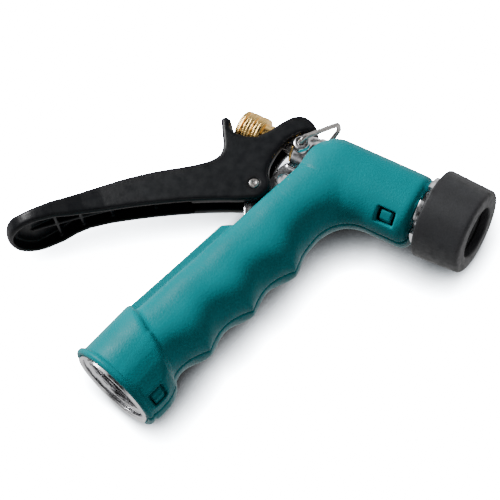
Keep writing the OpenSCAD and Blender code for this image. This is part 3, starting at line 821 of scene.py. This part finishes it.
def make_spring():
    """Valve spring with closed end coils."""
    low, high = (in_head(c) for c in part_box("return_spring"))
    wire = 0.55
    x0, x1 = low[0] + wire, high[0] - wire
    radius = high[2] - wire
    turns, steps = 10, 24
    t = np.linspace(0, turns, turns * steps + 1)
    closed = 2.1 * wire
    pitch = (x1 - x0 - 2 * closed) / (turns - 2)
    x = x0 + np.where(t < 1, closed * t,
                      np.where(t > turns - 1, x1 - x0 - closed * (turns - t),
                               closed + pitch * (t - 1)))
    angle = 2 * math.pi * t
    verts, faces = tube(np.stack([x, radius * np.cos(angle), radius * np.sin(angle)], 1), wire, 12)
    obj = new_object("valve_spring", verts, faces, "body", steel, ["return_spring"])
    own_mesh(obj)


# ---------------------------------------------------------------- materials
class Surface:
    """A node material on a Principled shader, with noise helpers in millimetres."""

    def __init__(self, name, metallic=0.0, roughness=0.5, **inputs):
        self.material = bpy.data.materials.new(name)
        self.material.use_nodes = True
        self.tree = self.material.node_tree
        self.shader = self.tree.nodes["Principled BSDF"]
        self.shader.inputs["Metallic"].default_value = metallic
        self.shader.inputs["Roughness"].default_value = roughness
        for key, value in inputs.items():
            self.shader.inputs[key.replace("_", " ")].default_value = value
        self.place = self.node("ShaderNodeTexCoord").outputs["Object"]
        self.normal = None

    def node(self, kind, **settings):
        n = self.tree.nodes.new(kind)
        for key, value in settings.items():
            setattr(n, key, value)
        return n

    def link(self, a, b):
        self.tree.links.new(a, b)

    def noise(self, size_mm, detail):
        n = self.node("ShaderNodeTexNoise")
        n.inputs["Scale"].default_value = 1 / (size_mm * MM)
        n.inputs["Detail"].default_value = detail
        n.inputs["Roughness"].default_value = 0.5
        self.link(self.place, n.inputs["Vector"])
        return n.outputs["Fac"]

    def cells(self, size_mm):
        n = self.node("ShaderNodeTexVoronoi", feature="SMOOTH_F1")
        n.inputs["Scale"].default_value = 1 / (size_mm * MM)
        n.inputs["Smoothness"].default_value = 0.6
        self.link(self.place, n.inputs["Vector"])
        return n.outputs["Distance"]

    def spread(self, value, low, high, out_low, out_high):
        n = self.node("ShaderNodeMapRange")
        n.inputs["From Min"].default_value = low
        n.inputs["From Max"].default_value = high
        n.inputs["To Min"].default_value = out_low
        n.inputs["To Max"].default_value = out_high
        self.link(value, n.inputs["Value"])
        return n.outputs["Result"]

    def colour(self, value, stops):
        n = self.node("ShaderNodeValToRGB")
        ramp = n.color_ramp
        while len(ramp.elements) < len(stops):
            ramp.elements.new(0.5)
        for element, (at, rgb) in zip(ramp.elements, stops):
            element.position = at
            element.color = (*rgb, 1)
        self.link(value, n.inputs["Fac"])
        self.link(n.outputs["Color"], self.shader.inputs["Base Color"])

    def rough(self, value, low, high):
        self.link(self.spread(value, 0.3, 0.7, low, high), self.shader.inputs["Roughness"])

    def bump(self, value, height_mm, strength):
        n = self.node("ShaderNodeBump")
        n.inputs["Distance"].default_value = height_mm * MM
        n.inputs["Strength"].default_value = strength
        self.link(value, n.inputs["Height"])
        if self.normal:
            self.link(self.normal, n.inputs["Normal"])
        self.normal = n.outputs["Normal"]
        self.link(self.normal, self.shader.inputs["Normal"])


def teal_plastic():
    s = Surface("teal_plastic", roughness=0.4, Specular_IOR_Level=0.09)
    s.colour(s.noise(14, 3), [(0.3, (0.0, 0.245, 0.275)), (0.7, (0.0, 0.285, 0.32))])
    s.rough(s.noise(3, 4), 0.33, 0.45)
    s.bump(s.cells(0.6), 0.07, 0.7)
    s.bump(s.noise(6, 2), 0.04, 0.4)
    return s.material


def painted_black():
    s = Surface("satin_black_paint", roughness=0.4, Specular_IOR_Level=0.17)
    s.colour(s.noise(9, 4), [(0.3, (0.004, 0.0045, 0.006)), (0.75, (0.008, 0.0085, 0.0105))])
    s.rough(s.noise(2.5, 5), 0.32, 0.46)
    s.bump(s.noise(0.9, 3), 0.05, 0.6)
    return s.material


def moulded_rubber():
    s = Surface("moulded_rubber", roughness=0.6)
    s.colour(s.noise(7, 5), [(0.3, (0.017, 0.0175, 0.02)), (0.75, (0.028, 0.029, 0.033))])
    s.rough(s.noise(2, 5), 0.5, 0.7)
    s.bump(s.noise(0.5, 4), 0.05, 0.7)
    return s.material


def seal_rubber():
    s = Surface("seal_rubber", roughness=0.7)
    s.colour(s.noise(3, 4), [(0.3, (0.012, 0.012, 0.012)), (0.75, (0.024, 0.024, 0.024))])
    s.bump(s.noise(0.4, 3), 0.03, 0.5)
    return s.material


def polished_zinc():
    s = Surface("polished_zinc", metallic=1.0, roughness=0.2)
    s.colour(s.noise(4, 5), [(0.3, (0.62, 0.62, 0.64)), (0.75, (0.8, 0.8, 0.82))])
    s.rough(s.noise(1.6, 5), 0.12, 0.32)
    s.bump(s.noise(3.2, 3), 0.08, 0.4)
    s.bump(s.noise(0.5, 4), 0.012, 0.4)
    return s.material


# near-black zinc for the outlet's mouth: painted shade, where the deep hole lies in shadow
def painted_shade_zinc():
    s = Surface("painted_shade_zinc", metallic=0.6, roughness=0.6)
    s.colour(s.noise(3, 4), [(0.3, (0.02, 0.02, 0.021)), (0.75, (0.035, 0.035, 0.037))])
    s.bump(s.noise(0.7, 3), 0.03, 0.4)
    return s.material


def drawn_steel():
    s = Surface("drawn_steel", metallic=1.0, roughness=0.28)
    s.colour(s.noise(2.5, 4), [(0.3, (0.34, 0.32, 0.31)), (0.75, (0.5, 0.48, 0.46))])
    s.rough(s.noise(1.0, 5), 0.2, 0.42)
    s.bump(s.noise(0.4, 4), 0.02, 0.5)
    return s.material


def bright_brass():
    s = Surface("bright_brass", metallic=1.0, roughness=0.2)
    s.colour(s.noise(2.5, 4), [(0.3, (0.88, 0.54, 0.16)), (0.75, (1.0, 0.7, 0.27))])
    s.rough(s.noise(1.0, 5), 0.14, 0.32)
    s.bump(s.noise(0.5, 4), 0.02, 0.5)
    return s.material


def studio_white():
    """A pale floor that the camera sees overexposed, as on a lit studio sweep.

    Close under the object the glow the camera sees is cut by ambient occlusion, a painted contact shadow with a
    cool tint; reflections see it as a plain bright sheet.
    """
    s = Surface("pale_floor", roughness=0.9)
    s.colour(s.noise(400, 2), [(0.3, (0.36, 0.36, 0.37)), (0.7, (0.38, 0.38, 0.39))])
    # painted contact shadow: ambient occlusion to the sixth power scales the camera's glow, whose cool tint shows
    # in that painted shade
    near = s.node("ShaderNodeAmbientOcclusion", samples=24)
    near.inputs["Distance"].default_value = 17 * MM
    shade = s.node("ShaderNodeMath", operation="POWER")
    shade.inputs[1].default_value = 6.0
    s.link(near.outputs["AO"], shade.inputs[0])
    lit = s.node("ShaderNodeMath", operation="MULTIPLY")
    lit.inputs[1].default_value = 60.0
    s.link(shade.outputs["Value"], lit.inputs[0])
    sheet = s.node("ShaderNodeEmission")
    sheet.inputs["Color"].default_value = (0.88, 0.94, 1.0, 1)
    s.link(lit.outputs["Value"], sheet.inputs["Strength"])
    mirrored = s.node("ShaderNodeEmission")
    mirrored.inputs["Strength"].default_value = 1.1
    path = s.node("ShaderNodeLightPath")
    base = s.shader.outputs["BSDF"]
    for ray, seen in (("Is Glossy Ray", mirrored), ("Is Camera Ray", sheet)):
        mix = s.node("ShaderNodeMixShader")
        s.link(path.outputs[ray], mix.inputs["Fac"])
        s.link(base, mix.inputs[1])
        s.link(seen.outputs["Emission"], mix.inputs[2])
        base = mix.outputs["Shader"]
    s.link(base, s.tree.nodes["Material Output"].inputs["Surface"])
    return s.material


teal, black_paint, rubber, seal = teal_plastic(), painted_black(), moulded_rubber(), seal_rubber()
zinc, steel, brass = polished_zinc(), drawn_steel(), bright_brass()
slot_material = {"polished_zinc": zinc, "teal_plastic": teal, "black_paint": black_paint,
                 "black_rubber": rubber, "black_seal": seal, "brass": brass, "steel": steel}
for part in frame["record"]["subparts"]:
    node = frame["nodes"][part["node"]]
    node.data.materials.clear()
    node.data.materials.append(slot_material[part["material_slot"]])

make_shells()
make_lever()
make_casting()
make_socket()
make_outlet()
make_nut()
make_packing_nut()
make_pin()
make_wire()
make_spring()

# ---------------------------------------------------------------- stage, light and camera
floor_z = cad_box[0][2]
mesh = bpy.data.meshes.new("floor")
corners = [(-3, -3, floor_z), (3, -3, floor_z), (3, 3, floor_z), (-3, 3, floor_z)]
mesh.from_pydata(corners, [], [(0, 1, 2, 3)])
floor = bpy.data.objects.new("floor", mesh)
bpy.context.scene.collection.objects.link(floor)
mesh.materials.append(studio_white())

CAMERA_AT = (225.502, -156.286, 588.123)
RIGHT = Vector((0.85632, 0.50264, -0.11865))
UP = Vector((-0.40660, 0.79779, 0.44521))
camera_data = bpy.data.cameras.new("camera")
camera_data.lens = 144
camera_data.sensor_width = 36
camera_data.clip_start = 0.01
camera = bpy.data.objects.new("camera", camera_data)
bpy.context.scene.collection.objects.link(camera)
back = RIGHT.cross(UP)
camera.matrix_world = Matrix((
    (RIGHT.x, UP.x, back.x, CAMERA_AT[0] * MM),
    (RIGHT.y, UP.y, back.y, CAMERA_AT[1] * MM),
    (RIGHT.z, UP.z, back.z, CAMERA_AT[2] * MM),
    (0, 0, 0, 1)))
bpy.context.scene.camera = camera


def softbox(name, where, aim, size, power):
    data = bpy.data.lights.new(name, "AREA")
    data.shape = "RECTANGLE"
    data.size, data.size_y = size
    data.energy = power
    lamp = bpy.data.objects.new(name, data)
    lamp.location = where
    lamp.rotation_euler = (Vector(aim) - Vector(where)).to_track_quat("-Z", "Y").to_euler()
    bpy.context.scene.collection.objects.link(lamp)


centre = (CORNER.x, CORNER.y / 2, 0)


def around(right, up, out):
    """A place given along the picture's right and up and towards the camera, in metres."""
    return Vector(centre) + RIGHT * right + UP * up + back * out


softbox("key", around(-0.65, 0.7, 0.25), centre, (0.35, 0.35), 15)
softbox("fill", around(0.9, 0.2, 0.8), centre, (0.9, 0.9), 1.5)
world = bpy.data.worlds.new("studio")
world.use_nodes = True
sky = world.node_tree
dome = sky.nodes["Background"]
dome.inputs["Color"].default_value = (1, 1, 1, 1)
dome.inputs["Strength"].default_value = 0.09
# what polished metal mirrors: the soft light and dark patches of a room
room = sky.nodes.new("ShaderNodeTexNoise")
room.inputs["Scale"].default_value = 1.6
room.inputs["Detail"].default_value = 1.0
sky.links.new(sky.nodes.new("ShaderNodeTexCoord").outputs["Generated"], room.inputs["Vector"])
patches = sky.nodes.new("ShaderNodeMapRange")
for key, value in (("From Min", 0.45), ("From Max", 0.6), ("To Min", 0.03), ("To Max", 1.2)):
    patches.inputs[key].default_value = value
sky.links.new(room.outputs["Fac"], patches.inputs["Value"])
path = sky.nodes.new("ShaderNodeLightPath")
shown = dome.outputs["Background"]
for ray, strength in (("Is Glossy Ray", None), ("Is Camera Ray", 22.0)):
    backdrop = sky.nodes.new("ShaderNodeBackground")
    backdrop.inputs["Color"].default_value = (1, 1, 1, 1)
    if strength:
        backdrop.inputs["Strength"].default_value = strength
    else:
        sky.links.new(patches.outputs["Result"], backdrop.inputs["Strength"])
    mix = sky.nodes.new("ShaderNodeMixShader")
    sky.links.new(path.outputs[ray], mix.inputs["Fac"])
    sky.links.new(shown, mix.inputs[1])
    sky.links.new(backdrop.outputs["Background"], mix.inputs[2])
    shown = mix.outputs["Shader"]
sky.links.new(shown, sky.nodes["World Output"].inputs["Surface"])
bpy.context.scene.world = world
